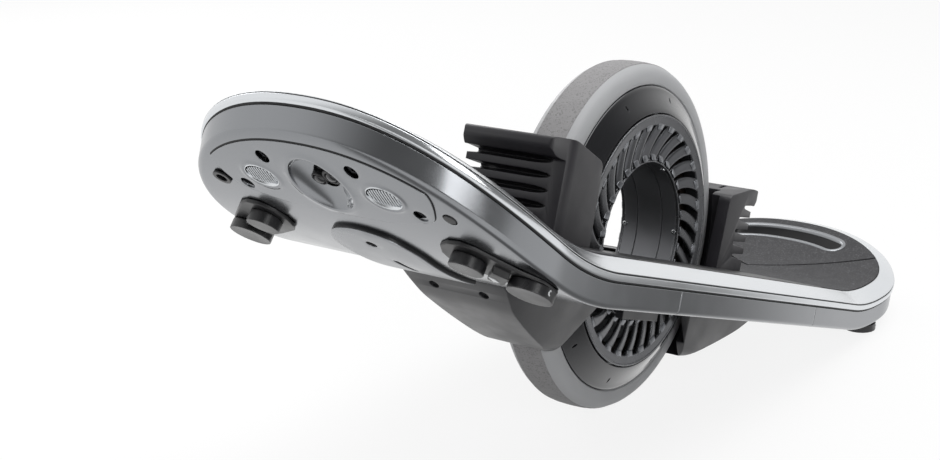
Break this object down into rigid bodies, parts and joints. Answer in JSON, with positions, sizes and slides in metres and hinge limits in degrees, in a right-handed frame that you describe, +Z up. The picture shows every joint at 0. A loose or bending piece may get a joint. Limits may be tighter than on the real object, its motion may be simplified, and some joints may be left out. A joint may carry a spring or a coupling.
{
  "type": "one-wheeled electric skateboard",
  "caption": "Electric skateboard with one hubless wheel through the middle of its kicked deck, ribbed foot stops, lamps, grilles and skid pads, resting on wheel and tail.",
  "frame": {"origin": "middle of the board's footprint on the floor, at rest on the wheel and the tail's skid pads", "axes": "+X towards the tail, +Y to the rider's left, +Z up; the deck is tipped 19.07 degrees, nose up"},
  "size_m": [0.8972, 0.3, 0.3668],
  "materials": {
    "silver_rim": "polished",
    "satin_shell": "satin",
    "grip_tape": "matte",
    "black_plastic": "satin",
    "puck_rubber": "matte",
    "tyre_rubber": "matte",
    "dark_metal": "gloss",
    "cast_metal": "satin",
    "steel": "satin",
    "magnet": "satin",
    "winding": "satin",
    "controller_case": "matte",
    "lamp_glass": "gloss",
    "battery_wrap": "satin"
  },
  "bodies": {
    "board": {"battery_pack": "battery_wrap", "charge_inlet": "black_plastic", "nose_deck_plate": "cast_metal", "tail_deck_plate": "cast_metal", "left_hub_beam": "cast_metal", "right_hub_beam": "cast_metal", "left_hub_bearing": "steel", "right_hub_bearing": "steel", "left_louvre_ring": "dark_metal", "right_louvre_ring": "dark_metal", "left_rail_cover": "black_plastic", "right_rail_cover": "black_plastic", "left_rail_shell": "satin_shell", "right_rail_shell": "satin_shell", "motor_controller": "controller_case", "nose_fender": "black_plastic", "tail_fender": "black_plastic", "nose_foot_stop": "black_plastic", "tail_foot_stop": "black_plastic", "nose_grip": "grip_tape", "tail_grip": "grip_tape", "nose_handle_liner": "silver_rim", "tail_handle_liner": "silver_rim", "nose_handle_floor": "silver_rim", "nose_lamp": "lamp_glass", "tail_lamp": "lamp_glass", "nose_left_grille": "satin_shell", "nose_right_grille": "satin_shell", "nose_left_speaker": "black_plastic", "nose_right_speaker": "black_plastic", "nose_panel": "satin_shell", "tail_panel": "satin_shell", "nose_service_plate": "satin_shell", "tail_service_plate": "satin_shell", "nose_shell": "satin_shell", "tail_shell": "satin_shell", "nose_left_skid": "black_plastic", "nose_right_skid": "black_plastic", "tail_left_skid": "black_plastic", "tail_right_skid": "black_plastic", "nose_left_inner_puck": "puck_rubber", "nose_left_outer_puck": "puck_rubber", "nose_right_inner_puck": "puck_rubber", "nose_right_outer_puck": "puck_rubber", "tail_left_inner_puck": "puck_rubber", "tail_left_outer_puck": "puck_rubber", "tail_right_inner_puck": "puck_rubber", "tail_right_outer_puck": "puck_rubber", "power_switch": "black_plastic", "nose_rim_frame": "silver_rim", "tail_rim_frame": "silver_rim", "stator_tube": "cast_metal", "stator_core": "steel", "stator_winding": "winding"},
    "wheel": {"tyre": "tyre_rubber", "rotor_rim": "cast_metal", "magnet_ring": "magnet", "left_face_plate": "dark_metal", "right_face_plate": "dark_metal"},
    "button": {"power_button": "black_plastic"}
  },
  "joints": [
    {"name": "wheel_spin", "type": "hinge", "parent": "board", "child": "wheel", "pos_m": [-0.01489, 0, 0.16], "axis": [0, 1, 0], "continuous": true},
    {"name": "power_button_press", "type": "slide", "parent": "board", "child": "button", "axis": [0.7226, 0, 0.6912], "range_m": [0, 0.0015], "stiffness_N_per_m": 600, "springref_m": -0.002}
  ]
}
